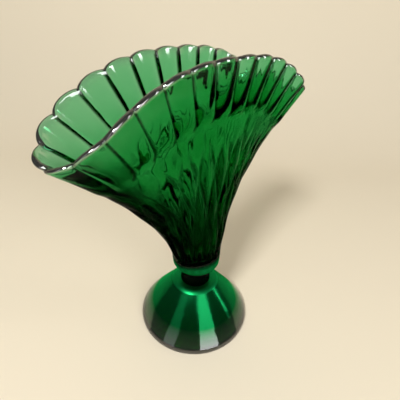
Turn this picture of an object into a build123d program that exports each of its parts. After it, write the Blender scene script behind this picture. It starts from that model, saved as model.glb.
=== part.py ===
from build123d import *
import math
import os

# A footed fan vase of pressed green glass, in millimetres.
# X runs along the fan, Y through its thin side and Z up from the table.
# The origin is the centre of the face that the foot rests on.

# Foot, a hollow cone with a solid crown
foot_radius = 40.0
foot_height = 35.0
foot_shoulder_radius = 15.0
foot_shoulder_round = 3.0
foot_rest_width = 4.0
foot_edge_height = 3.4
foot_edge_round = 1.2
foot_wall = 4.2
foot_crown = 7.0

# Stem, a short solid post of hot glass between foot and bowl
stem_radius = 10.6
stem_height = 14.0
stem_waist = 0.5

# Bowl, a fluted cone squeezed into a fan
bowl_height = 136.6
rim_drop = 33.3
mouth_length = 176.0
mouth_width = 41.4
base_radius = 16.2
base_round = 4.0
wall = 5.0
rim_wall = 2.6
rim_round = 1.0
floor_thickness = 9.0
well_radius = 11.5
well_round = 4.5

# Flutes, raised petals round the rim
flute_count = 28
flute_rise = 1.5
flute_length = 26.0
flute_end_length = 4.0

# How the bowl swells from its round base to its long mouth
end_bow_share = 0.65
side_bow_power = 2.8
arch_power = 2.55
rim_taper_power = 3.0

# Levels of the bowl's rings, as shares of the wall's height below and within the flutes
lower_level_shares = (0, 0.14, 0.28, 0.42, 0.56, 0.7, 0.84, 1)
flute_level_shares = (0, 0.5)
inner_level_shares = (0.92, 0.84, 0.76, 0.66, 0.54, 0.42, 0.3, 0.18, 0.08, 0)
round_steps = 3
quarter_steps = 90

bowl_bottom = foot_height + stem_height
rim_top = bowl_bottom + bowl_height
wall_start = bowl_bottom + base_round
well_bottom = bowl_bottom + floor_thickness
well_start = well_bottom + well_round
half_length = mouth_length / 2
half_width = mouth_width / 2
straight = half_length - half_width
round_run = math.pi / 2 * half_width


def rim_height(x):
    """Height of the arched rim over a place along the fan."""
    return rim_top - rim_drop * (abs(x) / half_length) ** arch_power


def quarter_plan(run, inset):
    """Point of the slot-shaped mouth, a run round from its +X end, drawn in by an inset."""
    if run < round_run:
        angle = run / half_width
        reach = half_width - inset
        return straight + reach * math.cos(angle), reach * math.sin(angle)
    return straight - (run - round_run), half_width - inset


def measured_runs():
    """Runs round one quarter of the mouth, each with the rim's true length up to it."""
    runs = [(straight + round_run) * step / quarter_steps for step in range(quarter_steps + 1)]
    lengths = [0.0]
    for first, second in zip(runs, runs[1:]):
        x_a, y_a = quarter_plan(first, 0)
        x_b, y_b = quarter_plan(second, 0)
        rise = rim_height(x_b) - rim_height(x_a)
        lengths.append(lengths[-1] + math.hypot(x_b - x_a, y_b - y_a, rise))
    return runs, lengths


runs, lengths = measured_runs()


def run_at(share):
    """Run round the quarter that holds this share of the quarter rim's true length."""
    wanted = share * lengths[-1]
    for step in range(quarter_steps):
        if lengths[step + 1] >= wanted:
            part = (wanted - lengths[step]) / (lengths[step + 1] - lengths[step])
            return runs[step] + part * (runs[step + 1] - runs[step])
    return runs[-1]


def mouth_point(turn, inset):
    """Point of the mouth's plan at a share of a whole turn from the +X end."""
    quarters = (turn % 1) * 4
    quarter = int(quarters)
    share = quarters - quarter
    if quarter % 2 == 1:
        share = 1 - share
    x, y = quarter_plan(run_at(share), inset)
    sign_x = -1 if quarter in (1, 2) else 1
    sign_y = -1 if quarter in (2, 3) else 1
    return sign_x * x, sign_y * y


def round_point(turn, radius, z):
    """Point of a plain circle about the vase's axis."""
    angle = 2 * math.pi * turn
    return Vector(radius * math.cos(angle), radius * math.sin(angle), z)


def skin_point(turn, level, inset, start_radius, start_height):
    """Point of a skin that swells from a circle at level 0 to the mouth at level 1."""
    rim_x, rim_y = mouth_point(turn, inset)
    top = rim_height(mouth_point(turn, 0)[0])
    start = round_point(turn, start_radius, start_height)
    along = (1 - end_bow_share) * level + end_bow_share * level**2
    across = level**side_bow_power
    x = (1 - along) * start.X + along * rim_x
    y = (1 - across) * start.Y + across * rim_y
    return Vector(x, y, start_height + level * (top - start_height))


def outer_point(turn, level, inset, rise):
    """Point of the outer skin, raised outwards in plan where a flute swells."""
    step = 1 / (flute_count * quarter_steps)
    point = skin_point(turn, level, inset, base_radius, wall_start)
    ahead = skin_point(turn + step, level, inset, base_radius, wall_start)
    tangent = ahead - skin_point(turn - step, level, inset, base_radius, wall_start)
    return point + Vector(tangent.Y, -tangent.X, 0).normalized() * rise


def ring(place):
    """Closed ring of one gentle bow per flute; place gives a point for a turn and its rise share."""
    grooves = [place(index / flute_count, 0) for index in range(flute_count)]
    crests = [place((index + 0.5) / flute_count, 1) for index in range(flute_count)]
    following = grooves[1:] + grooves[:1]
    return Wire([Spline(*bow) for bow in zip(grooves, crests, following)])


def round_ring(radius, z):
    """Ring that is a plain circle."""
    return ring(lambda turn, crest: round_point(turn, radius, z))


def outer_ring(level, rise, inset=0):
    """Ring of the outer skin, its flutes raised by rise."""
    return ring(lambda turn, crest: outer_point(turn, level, inset, rise * crest))


def inner_ring(level):
    """Ring of the smooth inner skin, where the wall thins towards the rim."""
    inset = wall + (rim_wall - wall) * level**rim_taper_power
    return ring(lambda turn, crest: skin_point(turn, level, inset, well_radius, well_start))


def rounded_rings(radius, rounding, bottom):
    """Rings of a rounded bottom edge, from its flat underside up to the wall."""
    rings = []
    for step in range(round_steps):
        angle = math.pi / 2 * step / round_steps
        reach = radius - rounding * (1 - math.sin(angle))
        rings.append(round_ring(reach, bottom + rounding * (1 - math.cos(angle))))
    return rings


def make_bowl():
    """The fan bowl as one skin: up the outside, over the arched rim and down the inside."""
    wall_height = rim_top - wall_start
    flute_top = 1 - rim_round / wall_height
    flute_start = 1 - flute_length / wall_height
    flute_full = flute_start + flute_end_length / wall_height
    rings = rounded_rings(base_radius, base_round, bowl_bottom)
    rings += [outer_ring(share * flute_start, 0) for share in lower_level_shares]
    rings += [outer_ring(flute_full + share * (flute_top - flute_full), flute_rise) for share in flute_level_shares]
    rings.append(outer_ring(flute_top, flute_rise))
    rings.append(outer_ring(1, flute_rise, rim_round))
    rings.append(outer_ring(1, 0, rim_wall - rim_round))
    rings.append(outer_ring(flute_top, 0, rim_wall))
    rings += [inner_ring(share) for share in inner_level_shares]
    rings += reversed(rounded_rings(well_radius, well_round, well_bottom))
    return Solid.make_loft(rings, ruled=True)


def make_stem():
    """Short post with a slight waist, flat at both ends."""
    bottom = foot_height
    top = foot_height + stem_height
    middle = (stem_radius - stem_waist, (bottom + top) / 2)
    outline = Polyline((stem_radius, bottom), (0, bottom), (0, top), (stem_radius, top))
    outline += ThreePointArc((stem_radius, top), middle, (stem_radius, bottom))
    return revolve(make_face(Plane.XZ * outline), axis=Axis.Z)


def rounded_corner(face, corner, radius):
    """The profile with one corner rounded."""
    x, z = corner
    nearest = face.vertices().sort_by_distance(Vector(x, 0, z))[0]
    return fillet(nearest, radius)


def make_foot():
    """Hollow cone with a rounded edge, a flat resting ring and a solid crown."""
    roof = foot_height - foot_crown
    roof_radius = foot_shoulder_radius - foot_wall
    inner_rest = foot_radius - foot_edge_round - foot_rest_width
    base_corner = (foot_radius, 0)
    edge_corner = (foot_radius, foot_edge_height)
    shoulder_corner = (foot_shoulder_radius, foot_height)
    roof_corner = (roof_radius, roof)
    outline = Polyline(
        (0, roof),
        roof_corner,
        (inner_rest, 0),
        base_corner,
        edge_corner,
        shoulder_corner,
        (0, foot_height),
        (0, roof),
    )
    face = make_face(Plane.XZ * outline)
    for corner in (base_corner, edge_corner):
        face = rounded_corner(face, corner, foot_edge_round)
    for corner in (shoulder_corner, roof_corner):
        face = rounded_corner(face, corner, foot_shoulder_round)
    return revolve(face, axis=Axis.Z)


def write(name, shape, colour):
    """One STEP file for one piece."""
    shape.label = name
    shape.color = Color(*colour)
    export_step(shape, os.path.join("parts", name + ".step"))
    print(name, round(shape.volume), "mm3")


os.makedirs("parts", exist_ok=True)
write("foot", make_foot(), (0.35, 0.6, 0.42))
write("stem", make_stem(), (0.0, 0.3, 0.14))
write("fan_bowl", make_bowl(), (0.05, 0.5, 0.25))
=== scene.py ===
import bisect
import math
import bpy
import bmesh
from mathutils import Matrix, Vector, noise


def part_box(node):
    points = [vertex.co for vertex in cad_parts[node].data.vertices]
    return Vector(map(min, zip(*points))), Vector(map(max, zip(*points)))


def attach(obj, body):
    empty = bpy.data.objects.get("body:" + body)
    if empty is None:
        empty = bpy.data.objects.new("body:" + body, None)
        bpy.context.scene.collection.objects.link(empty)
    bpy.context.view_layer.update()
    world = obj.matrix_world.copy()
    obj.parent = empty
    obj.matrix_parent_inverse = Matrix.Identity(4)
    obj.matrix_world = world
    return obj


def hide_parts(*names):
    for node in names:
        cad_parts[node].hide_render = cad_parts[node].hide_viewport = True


# Footed fan vase of pressed emerald glass: bowl, stem and foot, all hot-joined.
# X runs along the fan, Y through its thin side, Z up from the floor.

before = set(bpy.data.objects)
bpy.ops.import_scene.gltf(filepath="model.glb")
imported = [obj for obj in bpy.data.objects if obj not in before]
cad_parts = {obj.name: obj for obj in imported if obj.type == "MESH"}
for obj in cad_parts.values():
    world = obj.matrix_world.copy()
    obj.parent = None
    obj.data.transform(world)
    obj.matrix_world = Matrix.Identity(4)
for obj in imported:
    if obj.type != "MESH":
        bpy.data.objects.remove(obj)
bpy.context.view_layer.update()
mm = 0.001
print("frame loaded, nodes:", sorted(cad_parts))


def ramp(low, high, value):  # straight rise from 0 to 1
    return min(max((value - low) / (high - low), 0.0), 1.0)


def smooth(low, high, value):  # soft rise from 0 to 1
    part = ramp(low, high, value)
    return part * part * (3 - 2 * part)


# Glass

def linear(hexColour):  # sRGB hex to the linear colour that shaders use
    parts = [int(hexColour[i:i + 2], 16) / 255 for i in (1, 3, 5)]
    return tuple(c / 12.92 if c <= 0.04045 else ((c + 0.055) / 1.055) ** 2.4 for c in parts) + (1.0,)


def addNode(tree, kind, place, settings=None, values=None, links=None):
    node = tree.nodes.new(kind)
    node.location = place
    for name, value in (settings or {}).items():
        setattr(node, name, value)
    for name, value in (values or {}).items():
        node.inputs[name].default_value = value
    for name, source in (links or {}).items():
        tree.links.new(source, node.inputs[name])
    return node


glass = {
    "wallGreen": "#6DE4B4",      # what the glass lets through best
    "paintedShadeGreen": "#04301A",    # painted shade: dark green laid into the grooves, the diamonds' lines and the lower bowl
    "ior": 1.52,                 # soda-lime glass
    "edgeMirror": 0.22,          # painted sheen: extra mirror share on the rim and the flutes' tops
    "glowGreen": "#1FC46E",      # painted glow: green tint and extra mirror share at the joints, standing in for light coming back out of the thick glass
    "glowMirror": 0.3, "glowRoughness": 0.4,
    "glowSpread": 6.0,           # the shine is all green well before the glow is full
    "polishRoughness": 0.012,
    "chillRoughness": 0.05,      # faint dulling where the mould chilled the skin
    "chillFrom": (0.35, 0.75),   # the ripples that it lies on
    "rippleStretch": 2.5,        # the ripples are drawn out along the wall
}
ripples = {"size": 7 * mm, "depth": 0.16 * mm, "detail": 1.5, "roughness": 0.4}  # slow, left by the mould
grain = {"size": 1.4 * mm, "depth": 0.006 * mm, "detail": 2.0, "roughness": 0.5}  # fine orange peel

# Density is absorption per metre. A mirrorPower over 1 dims the plain reflection, one under 1 lifts it.
glassKinds = {
    "bowl": {"name": "emerald_pressed_glass_bowl", "density": 590.0, "mirrorPower": 2.6},
    "stem": {"name": "emerald_solid_glass_stem", "density": 1500.0, "mirrorPower": 2.2},
    "foot": {"name": "emerald_thin_glass_foot", "density": 1050.0, "mirrorPower": 0.72},
}


def addNoise(tree, facts, place, vector):
    return addNode(tree, "ShaderNodeTexNoise", place, values={
        "Scale": 1 / facts["size"], "Detail": facts["detail"], "Roughness": facts["roughness"]},
        links={"Vector": vector})


def addBump(tree, facts, place, links):
    return addNode(tree, "ShaderNodeBump", place, values={
        "Strength": 1.0, "Distance": facts["depth"]}, links=links)


def addShare(tree, place, source, factor, base):  # source times factor, on top of base
    return addNode(tree, "ShaderNodeMath", place, {"operation": "MULTIPLY_ADD"},
                   {1: factor}, {0: source, 2: base})


def pressedGlass(kind):
    # Emerald soda-lime glass, pressed in an iron mould and fire polished: the colour is in its
    # depth, so thin walls are leaf green and thick glass goes nearly black. On top, shade is painted into
    # the bent light and sheen and glow into the reflection, where the marks say.
    facts = glassKinds[kind]
    material = bpy.data.materials.new(facts["name"])
    material.use_nodes = True
    tree = material.node_tree
    tree.nodes.clear()
    place = addNode(tree, "ShaderNodeTexCoord", (-1300, 0))
    drawn = addNode(tree, "ShaderNodeMapping", (-1100, 150), values={
        "Scale": (1, 1, 1 / glass["rippleStretch"])}, links={"Vector": place.outputs["Object"]})
    slow = addNoise(tree, ripples, (-850, 150), drawn.outputs["Vector"])
    fine = addNoise(tree, grain, (-850, -150), place.outputs["Object"])
    slowBump = addBump(tree, ripples, (-600, 150), {"Height": slow.outputs["Fac"]})
    bump = addBump(tree, grain, (-400, 50), {
        "Height": fine.outputs["Fac"], "Normal": slowBump.outputs["Normal"]})
    # The three marks carry painted shade, painted sheen on the rim and the flutes' tops, and a painted
    # glow at the joints.
    paintedShade, edge, glow = [addNode(tree, "ShaderNodeAttribute", (-900, high), {"attribute_name": mark})
                          for mark, high in (("paintedShade", 500), ("edge", 700), ("glow", 900))]
    dulling = addNode(tree, "ShaderNodeMapRange", (-600, -250), values={
        "From Min": glass["chillFrom"][0], "From Max": glass["chillFrom"][1],
        "To Min": glass["polishRoughness"], "To Max": glass["chillRoughness"]},
        links={"Value": slow.outputs["Fac"]})
    roughness = addShare(tree, (-400, -250), glow.outputs["Fac"], glass["glowRoughness"],
                         dulling.outputs["Result"])
    skin = {"Roughness": roughness.outputs["Value"], "Normal": bump.outputs["Normal"]}
    spread = addNode(tree, "ShaderNodeMath", (-550, -50), {"operation": "MULTIPLY", "use_clamp": True},
                     {1: glass["glowSpread"]}, {0: glow.outputs["Fac"]})
    shine = addNode(tree, "ShaderNodeMixRGB", (-350, -50), values={
        "Color1": (1, 1, 1, 1), "Color2": linear(glass["glowGreen"])},
        links={"Fac": spread.outputs["Value"]})
    # Painted shade: the bent light is tinted towards dark green where the shade mark is.
    tint = addNode(tree, "ShaderNodeMixRGB", (-350, 300), values={
        "Color2": linear(glass["paintedShadeGreen"])},
        links={"Fac": paintedShade.outputs["Fac"], "Color1": shine.outputs["Color"]})
    bent = addNode(tree, "ShaderNodeBsdfRefraction", (-100, 200), values={
        "IOR": glass["ior"]}, links={**skin, "Color": tint.outputs["Color"]})
    mirrored = addNode(tree, "ShaderNodeBsdfGlossy", (-100, 0), links={
        **skin, "Color": shine.outputs["Color"]})
    fresnel = addNode(tree, "ShaderNodeFresnel", (-600, 600), values={
        "IOR": glass["ior"]}, links={"Normal": bump.outputs["Normal"]})
    plainShare = addNode(tree, "ShaderNodeMath", (-400, 600), {"operation": "POWER"},
                         {1: facts["mirrorPower"]}, {0: fresnel.outputs["Fac"]})
    # Painted sheen and painted glow: extra mirror share where the edge and glow marks are.
    edgeShare = addShare(tree, (-200, 600), edge.outputs["Fac"], glass["edgeMirror"],
                         plainShare.outputs["Value"])
    mirrorShare = addShare(tree, (0, 600), glow.outputs["Fac"], glass["glowMirror"],
                           edgeShare.outputs["Value"])
    surface = addNode(tree, "ShaderNodeMixShader", (200, 100), links={
        0: mirrorShare.outputs["Value"], 1: bent.outputs["BSDF"], 2: mirrored.outputs["BSDF"]})
    depth = addNode(tree, "ShaderNodeVolumeAbsorption", (200, -200), values={
        "Color": linear(glass["wallGreen"]), "Density": facts["density"]})
    addNode(tree, "ShaderNodeOutputMaterial", (400, 0), links={
        "Surface": surface.outputs["Shader"], "Volume": depth.outputs["Volume"]})
    return material


bowlGlass, stemGlass, footGlass = [pressedGlass(kind) for kind in glassKinds]
print("glass ready")


def finishPiece(bm, name, material, node):
    mesh = bpy.data.meshes.new(name)
    bm.to_mesh(mesh)
    bm.free()
    mesh.materials.append(material)
    mesh.shade_smooth()
    piece = bpy.data.objects.new(name, mesh)
    bpy.context.scene.collection.objects.link(piece)
    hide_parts(node)
    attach(piece, "root")


# Bowl: one skin, extruded ring by ring up the outside, over the rim and down the inside

bowlLow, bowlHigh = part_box("fan_bowl")
bowl = {
    "bottom": bowlLow[2], "top": bowlHigh[2],
    "mouthLength": 176 * mm, "mouthWidth": 41.4 * mm, "rimDrop": 33.3 * mm,
    "baseRadius": 16.2 * mm, "baseRound": 4 * mm,
    "wall": 5 * mm, "rimWall": 2.6 * mm, "rimTaper": 3.2,
    "floor": 9 * mm, "wellRadius": 11.5 * mm, "wellRound": 4.5 * mm,
    "endBow": 0.65, "sideBow": 2.8, "arch": 2.55,
    "columnsPerFlute": 18, "columnCrowding": 0.7,  # columns crowd towards the grooves
    "outerSpans": ((0, 76), (0.765, 20), (0.83, 24), (1, 0)),  # rings crowd where the grooves end
    "innerRings": 44, "roundRings": 6, "rimRings": 8,
    "jointGap": 0.02 * mm, "glowReach": 0.06,
}
flutes = {
    "count": 28, "rise": 1.5 * mm, "crown": 2.4,
    "rimRise": 0.95 * mm, "rimCrown": 2.0, "melt": (0.94, 1.0),  # fire polish rounds them over here
    "start": 0.795, "corner": 0.036, "cornerShare": 0.55, "edge": 0.06,
    "scallop": 1.0 * mm, "insideShare": 0.85, "insideStart": (0.76, 0.9),
    "paintedSheen": 0.05, "paintedSheenReach": (5 * mm, 10 * mm),  # painted sheen on them below the rim
}
grooves = {  # thin pressed line between two flutes, with a small hook at its foot; both are also painted dark as shade, more faintly towards the back wall's feet
    "depth": 0.3 * mm, "width": 1.9 * mm, "footWidth": 3.0 * mm, "footReach": 9 * mm,
    "hook": 3.2 * mm, "hookEnd": (70, 92), "top": (0.985, 1.002), "backFade": (0.8, 0.95),
}
diamonds = {
    "count": 20, "height": 0.38, "depth": 0.9 * mm, "crown": 1.6,
    "lineWidth": 1.3 * mm, "lineDepth": 0.45 * mm, "fadeIn": (0.03, 0.1), "fadeOut": (0.62, 0.74),
    "strokeWidth": 3.8 * mm, "strokeTints": (0.9, 0.5),  # painted shade, darker along the lines that lean one way
    # Painted shade: the lower bowl is painted darker, higher up towards its ends, and painted lighter in
    # the diamonds' hearts.
    "lowFade": (0.24, 0.56), "lowAtEnds": 0.52, "endPower": 6, "lowTint": 0.75, "heartLight": 0.4,
    "tintWander": 0.4,
}
handWork = {  # slow wander of hand-finished glass, drawn out along the wall
    "size": 8 * mm, "stretch": 4.0, "layers": {"outside": 0, "tint": 3, "inside": 7},
    "outside": 0.12 * mm, "outsideFrom": (0, 0.1), "outsideTo": (0.9, 1),
    "inside": 0.28 * mm, "insideFrom": (0, 0.2), "insideTo": (0.85, 1),
    "wall": 0.6 * mm, "wallSize": 48 * mm, "wallFrom": Vector((0.02, 0.0, 0.05)),
    # The front wall and the left end came out thicker, and even out towards the rim.
    "frontWall": 1.3 * mm, "leftEnd": 0.6 * mm, "evenRim": (0.65, 1.0),
}

halfLength, halfWidth = bowl["mouthLength"] / 2, bowl["mouthWidth"] / 2
roundRun = math.pi / 2 * halfWidth
wallStart = bowl["bottom"] + bowl["baseRound"]
wallHeight = bowl["top"] - wallStart
wellBottom = bowl["bottom"] + bowl["floor"]
wellStart = wellBottom + bowl["wellRound"]


def rimHeight(x):
    return bowl["top"] - bowl["rimDrop"] * (abs(x) / halfLength) ** bowl["arch"]


def quarterPlan(run):  # place after a run round the slot-shaped mouth from its +X end, and the way out
    if run < roundRun:
        angle = run / halfWidth
        way = Vector((math.cos(angle), math.sin(angle), 0))
        return Vector((halfLength - halfWidth, 0, 0)) + way * halfWidth, way
    return Vector((halfLength - halfWidth - (run - roundRun), halfWidth, 0)), Vector((0, 1, 0))


def measureQuarter(steps=600):  # runs round a quarter of the mouth, and the rim's true length up to each
    total = halfLength - halfWidth + roundRun
    runs = [total * step / steps for step in range(steps + 1)]
    places = [quarterPlan(run)[0] for run in runs]
    for place in places:
        place.z = rimHeight(place.x)
    lengths = [0.0]
    for first, second in zip(places, places[1:]):
        lengths.append(lengths[-1] + (second - first).length)
    return runs, lengths


quarterRuns, quarterLengths = measureQuarter()
rimLength = 4 * quarterLengths[-1]
fluteWidth = rimLength / flutes["count"]


def mouthPlace(turn):  # place and way out at a share of a whole turn from the +X end
    quarter, share = divmod(turn % 1 * 4, 1)
    wanted = (1 - share if quarter % 2 else share) * quarterLengths[-1]
    step = min(max(bisect.bisect_left(quarterLengths, wanted), 1), len(quarterRuns) - 1)
    part = (wanted - quarterLengths[step - 1]) / (quarterLengths[step] - quarterLengths[step - 1])
    place, way = quarterPlan(quarterRuns[step - 1] + part * (quarterRuns[step] - quarterRuns[step - 1]))
    sign = Vector((-1 if quarter in (1, 2) else 1, -1 if quarter in (2, 3) else 1, 1))
    return place * sign, way * sign


columnCount = flutes["count"] * bowl["columnsPerFlute"]
columns = []
for index in range(columnCount):
    inFlute = (index / bowl["columnsPerFlute"]) % 1
    crowded = inFlute - bowl["columnCrowding"] * math.sin(2 * math.pi * inFlute) / (2 * math.pi)
    turn = (index // bowl["columnsPerFlute"] + crowded) / flutes["count"]
    mouth, way = mouthPlace(turn)
    columns.append({
        "turn": turn, "across": abs(2 * crowded - 1), "fromGroove": crowded - round(crowded),
        "mouth": mouth, "way": way, "top": rimHeight(mouth.x),
        "round": Vector((math.cos(2 * math.pi * turn), math.sin(2 * math.pi * turn), 0)),
    })


def swell(level):  # share of the way out along the fan, from the round base to the mouth
    return (1 - bowl["endBow"]) * level + bowl["endBow"] * level ** 2


def skinPoint(column, level, inset, startRadius, startHeight):
    facts = columns[column % columnCount]
    rim = facts["mouth"] - facts["way"] * inset
    start = facts["round"] * startRadius
    along = swell(level)
    across = level ** bowl["sideBow"]
    return Vector(((1 - along) * start.x + along * rim.x, (1 - across) * start.y + across * rim.y,
                   startHeight + level * (facts["top"] - startHeight)))


def outward(column, level):
    ahead = skinPoint(column + 1, level, 0, bowl["baseRadius"], wallStart)
    tangent = ahead - skinPoint(column - 1, level, 0, bowl["baseRadius"], wallStart)
    return Vector((tangent.y, -tangent.x, 0)).normalized()


def fluteRelief(column, level):  # 0 across is a flute's crest, 1 the grooves beside it
    across = columns[column]["across"]
    bend = max(0.0, (across - flutes["cornerShare"]) / (1 - flutes["cornerShare"]))
    low = flutes["start"] + flutes["corner"] * (1 - math.sqrt(1 - bend ** 2))
    full = smooth(low - flutes["edge"] / 2, low + flutes["edge"] / 2, level)
    melt = 1 - math.sqrt(1 - ramp(*flutes["melt"], level) ** 2)
    pressed = flutes["rise"] * (1 - across ** flutes["crown"])
    melted = flutes["rimRise"] * (1 - across ** flutes["rimCrown"])
    return full * (pressed * (1 - melt) + melted * melt)


def grooveLine(column, level):  # 1 in the middle of a groove, 0 beside it
    facts = columns[column]
    across = facts["fromGroove"] * fluteWidth * level
    climb = (level - flutes["start"]) * (facts["top"] - wallStart)
    hook = grooves["hook"]
    if climb > hook:
        away = abs(across)
        shown = 1 - smooth(*grooves["top"], level)
    else:
        away = abs(math.hypot(across + hook, hook - climb) - hook)
        sweep = math.degrees(math.atan2(hook - climb, across + hook))
        shown = 1 - smooth(*grooves["hookEnd"], sweep)
    wide = 1 - smooth(0, grooves["footReach"], climb)
    width = grooves["width"] + (grooves["footWidth"] - grooves["width"]) * wide
    return shown * (1 - smooth(0, width / 2, away))


def diamondShown(level):  # the diamonds fade out at the bowl's bottom and below the flutes
    return smooth(*diamonds["fadeIn"], level) * (1 - smooth(*diamonds["fadeOut"], level))


def diamondPhases(column, level):  # 1 on a line that leans one way, and on one that leans the other
    turn, climb = diamonds["count"] * columns[column]["turn"], level / diamonds["height"]
    return abs((turn + climb) % 1 * 2 - 1), abs((turn - climb) % 1 * 2 - 1)


def diamondRelief(column, level):  # 0 on a diamond's heart, pressed in around it
    left, right = diamondPhases(column, level)
    pillow = (1 - left ** diamonds["crown"]) * (1 - right ** diamonds["crown"])
    return -diamonds["depth"] * diamondShown(level) * (1 - pillow)


def diamondHalf(level):  # half a diamond's width, along the wall
    along = swell(level)
    around = (1 - along) * 2 * math.pi * bowl["baseRadius"] + along * rimLength
    return around / diamonds["count"] / 2


def diamondLine(column, level):  # 1 in the crisp valley between two diamonds
    away = (1 - max(diamondPhases(column, level))) * diamondHalf(level)
    return diamondShown(level) * (1 - smooth(0, diamonds["lineWidth"] / 2, away))


def unevenness(column, level, layer):  # -1 to 1, each layer with its own
    way = columns[column]["round"] * (rimLength / (2 * math.pi) / handWork["size"])
    climb = level * wallHeight / handWork["size"] / handWork["stretch"]
    return noise.noise(Vector((way.x, way.y, climb + handWork["layers"][layer])))


def diamondPaintedShade(column, level):  # painted shade: how dark the diamonds' lines and the lower bowl are painted
    left, right = diamondPhases(column, level)
    lift = diamonds["lowAtEnds"] * columns[column]["round"].x ** diamonds["endPower"]
    heart = diamonds["heartLight"] * (1 - left) * (1 - right)
    darkest = (1 - smooth(*diamonds["lowFade"], level - lift)) * (diamonds["lowTint"] - heart)
    for tint, own, other in zip(diamonds["strokeTints"], (left, right), (right, left)):
        line = 1 - smooth(0, diamonds["strokeWidth"] / 2, (1 - own) * diamondHalf(level))
        darkest = max(darkest, tint * line * (1 - other ** 2) * diamondShown(level))
    return min(1.0, darkest * (1 + diamonds["tintWander"] * unevenness(column, level, "tint")))


def outsideWander(column, level):
    fade = smooth(*handWork["outsideFrom"], level) * (1 - smooth(*handWork["outsideTo"], level))
    return fade * handWork["outside"] * unevenness(column, level, "outside")


def insideWander(column, level, point):  # outwards is where the wall is thinner
    thin = handWork["wall"] * noise.noise((point + handWork["wallFrom"]) / handWork["wallSize"])
    thin += columns[column]["round"].dot(Vector((handWork["leftEnd"], handWork["frontWall"], 0)))
    thin *= 1 - smooth(*handWork["evenRim"], level)
    fade = smooth(*handWork["insideFrom"], level) * (1 - smooth(*handWork["insideTo"], level))
    return fade * (thin + handWork["inside"] * unevenness(column, level, "inside"))


def edgeDrop(column):  # how far below the arch the rim starts to round over
    return bowl["rimWall"] / 2 + flutes["scallop"] * columns[column]["across"] ** 2


def outerLevel(column, share):
    return share * (1 - edgeDrop(column) / (columns[column]["top"] - wallStart))


def outerPlace(share):
    def place(column):
        level = outerLevel(column, share)
        point = skinPoint(column, level, 0, bowl["baseRadius"], wallStart)
        relief = fluteRelief(column, level) + diamondRelief(column, level) + outsideWander(column, level)
        relief -= grooves["depth"] * grooveLine(column, level)
        relief -= diamonds["lineDepth"] * diamondLine(column, level)
        return point + outward(column, level) * relief
    return place


def innerPlace(share):
    def place(column):
        level = share * (1 - edgeDrop(column) / (columns[column]["top"] - wellStart))
        inset = bowl["wall"] + (bowl["rimWall"] - bowl["wall"]) * level ** bowl["rimTaper"]
        point = skinPoint(column, level, inset, bowl["wellRadius"], wellStart)
        follow = flutes["insideShare"] * smooth(*flutes["insideStart"], level)
        relief = fluteRelief(column, level) * follow + insideWander(column, level, point)
        return point + outward(column, level) * relief
    return place


def rimPlace(angle):  # angle 0 outside, pi inside, over the fire-polished edge
    outer, inner = outerPlace(1), innerPlace(1)

    def place(column):
        point = outer(column).lerp(inner(column), (1 - math.cos(angle)) / 2)
        point.z += bowl["rimWall"] / 2 * math.sin(angle)
        return point
    return place


def roundPlace(radius, z):
    def place(column):
        return columns[column]["round"] * radius + Vector((0, 0, z))
    return place


def roundedPlaces(radius, rounding, bottom):  # rings of a rounded bottom edge, from its flat face up
    places = []
    for step in range(bowl["roundRings"]):
        angle = math.pi / 2 * step / bowl["roundRings"]
        reach = radius - rounding * (1 - math.sin(angle))
        places.append(roundPlace(reach, bottom + rounding * (1 - math.cos(angle))))
    return places


def outerShares():
    spans = bowl["outerSpans"]
    shares = []
    for (low, rings), (high, _) in zip(spans, spans[1:]):
        shares += [low + (high - low) * ring / rings for ring in range(rings)]
    return shares


def paintedSheenBelow(share):
    return flutes["paintedSheen"] * (1 - smooth(*flutes["paintedSheenReach"], (1 - share) * wallHeight))


def bowlRings():  # for each ring: place, share of the outer wall or None, painted sheen, painted glow
    rings = [(place, None, 0.0, 1.0) for place in roundedPlaces(
        bowl["baseRadius"], bowl["baseRound"], bowl["bottom"] + bowl["jointGap"])]
    for share in outerShares():
        # painted glow, fading out up from the bowl's base
        glow = 1 - smooth(0, bowl["glowReach"], share)
        rings.append((outerPlace(share), share, paintedSheenBelow(share), glow))
    for ring in range(bowl["rimRings"] + 1):
        rings.append((rimPlace(math.pi * ring / bowl["rimRings"]), None, 1.0, 0.0))
    for ring in range(1, bowl["innerRings"] + 1):
        share = 1 - ring / bowl["innerRings"]
        rings.append((innerPlace(share), None, paintedSheenBelow(share), 0.0))
    well = roundedPlaces(bowl["wellRadius"], bowl["wellRound"], wellBottom)
    rings += [(place, None, 0.0, 0.0) for place in reversed(well)]
    return rings


def paintedShadeAt(column, share):  # painted shade of the grooves and the diamonds; the back wall's grooves get less of it towards their feet, though their shape is the same
    level = outerLevel(column, share)
    faint = max(0.0, columns[column]["round"].y) * (1 - smooth(*grooves["backFade"], level))
    return max(grooveLine(column, level) * (1 - faint), diamondPaintedShade(column, level))


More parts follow.
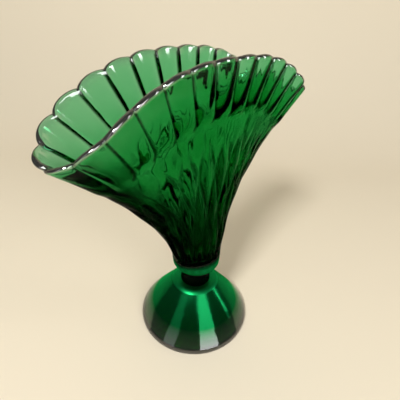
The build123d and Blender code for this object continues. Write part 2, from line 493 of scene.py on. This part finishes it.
def makeBowl():
    bm = bmesh.new()
    bmesh.ops.create_circle(bm, cap_ends=True, radius=bowl["baseRadius"], segments=columnCount)
    number = bm.verts.layers.int.new("column")
    paintedShade, edge, glow = [bm.verts.layers.float.new(mark) for mark in ("paintedShade", "edge", "glow")]
    for vert in bm.verts:
        turn = math.atan2(vert.co.y, vert.co.x) / (2 * math.pi)
        vert[number] = round(turn * columnCount) % columnCount
    ringEdges = list(bm.edges)
    rings = bowlRings()
    for vert in bm.verts:
        vert.co = rings[0][0](vert[number])
    for place, share, paintedSheen, shine in rings[1:]:
        grown = bmesh.ops.extrude_edge_only(bm, edges=ringEdges)["geom"]
        ringEdges = [part for part in grown if isinstance(part, bmesh.types.BMEdge) and part.is_boundary]
        for vert in {vert for edgePart in ringEdges for vert in edgePart.verts}:
            vert.co = place(vert[number])
            vert[paintedShade] = 0.0 if share is None else paintedShadeAt(vert[number], share)
            vert[edge] = paintedSheen
            vert[glow] = shine
    bmesh.ops.contextual_create(bm, geom=ringEdges)
    bmesh.ops.recalc_face_normals(bm, faces=bm.faces)
    finishPiece(bm, "fan_bowl_glass", bowlGlass, "fan_bowl")


makeBowl()
print("bowl made")


# Foot and stem: profiles spun about the vase's axis

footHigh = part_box("foot")[1]
foot = {
    "radius": footHigh[0], "top": footHigh[2],
    "shoulderRadius": 15 * mm, "shoulderRound": 3 * mm,
    "edgeHeight": 3.4 * mm, "edgeRound": 1.2 * mm, "restWidth": 4 * mm,
    "restRound": 0.8 * mm, "wall": 4.2 * mm, "crown": 7 * mm, "roofRound": 3 * mm,
    "spinSteps": 128, "cornerSteps": 6,
    "glowAtTop": 0.7, "glowPeak": 1.4 * mm, "glowBelow": 3.2 * mm,  # brightest ring of the painted glow at the joint
}
stemLow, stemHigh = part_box("stem")
stem = {
    "radius": stemHigh[0], "bottom": stemLow[2], "top": stemHigh[2],
    "waist": 0.5 * mm, "endRound": 0.25 * mm, "gap": 0.02 * mm,
    "cuts": 10, "endSteps": 3, "spinSteps": 96,
}
roundCorner, weldReach = 0.5, 0.001 * mm


def spunProfile(points, rounding, steps):  # a line of points, some rounded, spun a full turn
    bm = bmesh.new()
    verts = [bm.verts.new((x, 0, z)) for x, z in points]
    for first, second in zip(verts, verts[1:]):
        bm.edges.new((first, second))
    for index, radius, segments in rounding:
        bmesh.ops.bevel(bm, geom=[verts[index]], offset=radius, offset_type="OFFSET",
                        segments=segments, profile=roundCorner, affect="VERTICES", material=-1)
    bmesh.ops.spin(bm, geom=bm.verts[:] + bm.edges[:], axis=(0, 0, 1), cent=(0, 0, 0),
                   angle=2 * math.pi, steps=steps, use_merge=True)
    bmesh.ops.remove_doubles(bm, verts=bm.verts, dist=weldReach)
    bmesh.ops.recalc_face_normals(bm, faces=bm.faces)
    return bm


def makeFoot():
    innerRest = foot["radius"] - foot["edgeRound"] - foot["restWidth"]
    roofRadius = foot["shoulderRadius"] - foot["wall"]
    roof = foot["top"] - foot["crown"]
    points = [
        (0, roof), (roofRadius, roof), (innerRest, 0), (foot["radius"], 0),
        (foot["radius"], foot["edgeHeight"]), (foot["shoulderRadius"], foot["top"]), (0, foot["top"]),
    ]
    corners = ("roofRound", "restRound", "edgeRound", "edgeRound", "shoulderRound")
    rounding = [(index, foot[corner], foot["cornerSteps"]) for index, corner in enumerate(corners, 1)]
    bm = spunProfile(points, rounding, foot["spinSteps"])
    # Painted glow: a ring at the top of the foot.
    glow = bm.verts.layers.float.new("glow")
    for vert in bm.verts:
        below = foot["top"] - vert.co.z
        rising = foot["glowAtTop"] + (1 - foot["glowAtTop"]) * smooth(0, foot["glowPeak"], below)
        vert[glow] = rising * (1 - smooth(foot["glowPeak"], foot["glowBelow"], below))
    finishPiece(bm, "foot_glass", footGlass, "foot")


def makeStem():
    low, high = stem["bottom"] + stem["gap"], stem["top"] - stem["gap"]
    points = [(0, low)]
    for cut in range(stem["cuts"] + 1):
        share = cut / stem["cuts"]
        reach = stem["radius"] - stem["waist"] * math.sin(math.pi * share)
        points.append((reach, low + (high - low) * share))
    points.append((0, high))
    rounding = [(index, stem["endRound"], stem["endSteps"]) for index in (1, len(points) - 2)]
    bm = spunProfile(points, rounding, stem["spinSteps"])
    finishPiece(bm, "stem_glass", stemGlass, "stem")


makeFoot()
makeStem()
print("foot and stem made")


# Room: pale floor that sweeps up into a pale backdrop

room = {
    "colour": "#EADFC8", "roughness": 0.9,
    "floorReach": 1.6, "backDistance": 0.25, "backHeight": 1.8, "sweep": 0.35, "sweepSteps": 24,
}


def mattePaper():
    # Pale matte paper: even and without shine, so that only the glass catches the light.
    material = bpy.data.materials.new("pale_matte_paper")
    material.use_nodes = True
    tree = material.node_tree
    tree.nodes.clear()
    paint = addNode(tree, "ShaderNodeBsdfPrincipled", (0, 0), values={
        "Base Color": linear(room["colour"]), "Roughness": room["roughness"]})
    addNode(tree, "ShaderNodeOutputMaterial", (300, 0), links={"Surface": paint.outputs["BSDF"]})
    return material


def makeRoom(heading):
    bm = bmesh.new()
    points = [(-room["floorReach"], 0), (room["backDistance"], 0)]
    for step in range(1, room["sweepSteps"] + 1):
        angle = math.pi / 2 * step / room["sweepSteps"]
        points.append((room["backDistance"] + room["sweep"] * math.sin(angle),
                       room["sweep"] * (1 - math.cos(angle))))
    points.append((room["backDistance"] + room["sweep"], room["backHeight"]))
    verts = [bm.verts.new((-room["floorReach"], y, z)) for y, z in points]
    edges = [bm.edges.new(pair) for pair in zip(verts, verts[1:])]
    grown = bmesh.ops.extrude_edge_only(bm, edges=edges)["geom"]
    moved = [part for part in grown if isinstance(part, bmesh.types.BMVert)]
    bmesh.ops.translate(bm, verts=moved, vec=(2 * room["floorReach"], 0, 0))
    bmesh.ops.rotate(bm, verts=bm.verts, cent=(0, 0, 0), matrix=Matrix.Rotation(heading, 3, "Z"))
    bmesh.ops.recalc_face_normals(bm, faces=bm.faces)
    mesh = bpy.data.meshes.new("pale_room")
    bm.to_mesh(mesh)
    bm.free()
    mesh.materials.append(mattePaper())
    mesh.shade_smooth()
    stage = bpy.data.objects.new("pale_room", mesh)
    bpy.context.scene.collection.objects.link(stage)


# Camera, as solved from the photograph: it stands a little above the rim and looks down

view = {
    "azimuth": math.radians(-48.5), "tilt": math.radians(32.2), "roll": math.radians(2.74),
    "distance": 165.4 * mm, "height": 204.7 * mm, "side": 0.8 * mm,
    "focalPixels": 314.0, "framePixels": 400.0, "sensor": 36.0, "nearest": 10 * mm,
}


def makeCamera():
    back = Vector((math.sin(view["azimuth"]), -math.cos(view["azimuth"]), 0))
    right = Vector((math.cos(view["azimuth"]), math.sin(view["azimuth"]), 0))
    ahead = -back * math.cos(view["tilt"]) - Vector((0, 0, math.sin(view["tilt"])))
    up = right.cross(ahead)
    cos, sin = math.cos(view["roll"]), math.sin(view["roll"])
    turnedRight = right * cos + up * sin
    turnedUp = up * cos - right * sin
    turn = Matrix((turnedRight, turnedUp, -ahead)).transposed().to_4x4()
    place = back * view["distance"] + right * view["side"] + Vector((0, 0, view["height"]))
    data = bpy.data.cameras.new("camera")
    data.sensor_width = view["sensor"]
    data.sensor_fit = "HORIZONTAL"
    data.lens = view["sensor"] * view["focalPixels"] / view["framePixels"]
    data.clip_start = view["nearest"]
    camera = bpy.data.objects.new("camera", data)
    camera.matrix_world = Matrix.Translation(place) @ turn
    bpy.context.scene.collection.objects.link(camera)
    bpy.context.scene.camera = camera


# Light: a pale surround and soft lamps, placed in metres to the camera's right, ahead and up

lamps = {
    "key": {"place": (-0.34, -0.71, 0.9), "aim": (0, 0, 0.1), "size": (0.25, 0.25), "watts": 10.0},
    "panelRight": {"place": (0.5, -0.82, 0.45), "aim": (0, 0, 0.05), "size": (0.6, 0.7), "watts": 5.0},
    "panelLeft": {"place": (-0.62, -0.72, 0.4), "aim": (0, 0, 0.05), "size": (0.4, 0.7), "watts": 0.6},
    "side": {"place": (1.0, 0.0, 0.4), "aim": (0, 0, 0.12), "size": (0.12, 0.6), "watts": 1.2},
}
surround = {"colour": "#FFF8EE", "strength": 0.18}


def makeLamp(name, facts, heading):
    turn = Matrix.Rotation(heading, 3, "Z")
    place, aim = turn @ Vector(facts["place"]), turn @ Vector(facts["aim"])
    data = bpy.data.lights.new(name, "AREA")
    data.shape = "RECTANGLE"
    data.size, data.size_y = facts["size"]
    data.energy = facts["watts"]
    lamp = bpy.data.objects.new(name, data)
    turned = (place - aim).to_track_quat("Z", "Y").to_matrix().to_4x4()
    lamp.matrix_world = Matrix.Translation(place) @ turned
    bpy.context.scene.collection.objects.link(lamp)


def makeSurround():
    world = bpy.data.worlds.new("soft_surround")
    bpy.context.scene.world = world
    world.use_nodes = True
    tree = world.node_tree
    tree.nodes.clear()
    glow = addNode(tree, "ShaderNodeBackground", (0, 0), values={
        "Color": linear(surround["colour"]), "Strength": surround["strength"]})
    addNode(tree, "ShaderNodeOutputWorld", (200, 0), links={"Surface": glow.outputs["Background"]})


makeRoom(view["azimuth"])
makeCamera()
for name, facts in lamps.items():
    makeLamp(name, facts, view["azimuth"])
makeSurround()
bpy.context.scene.view_settings.view_transform = "Standard"
print("room, camera and light ready")
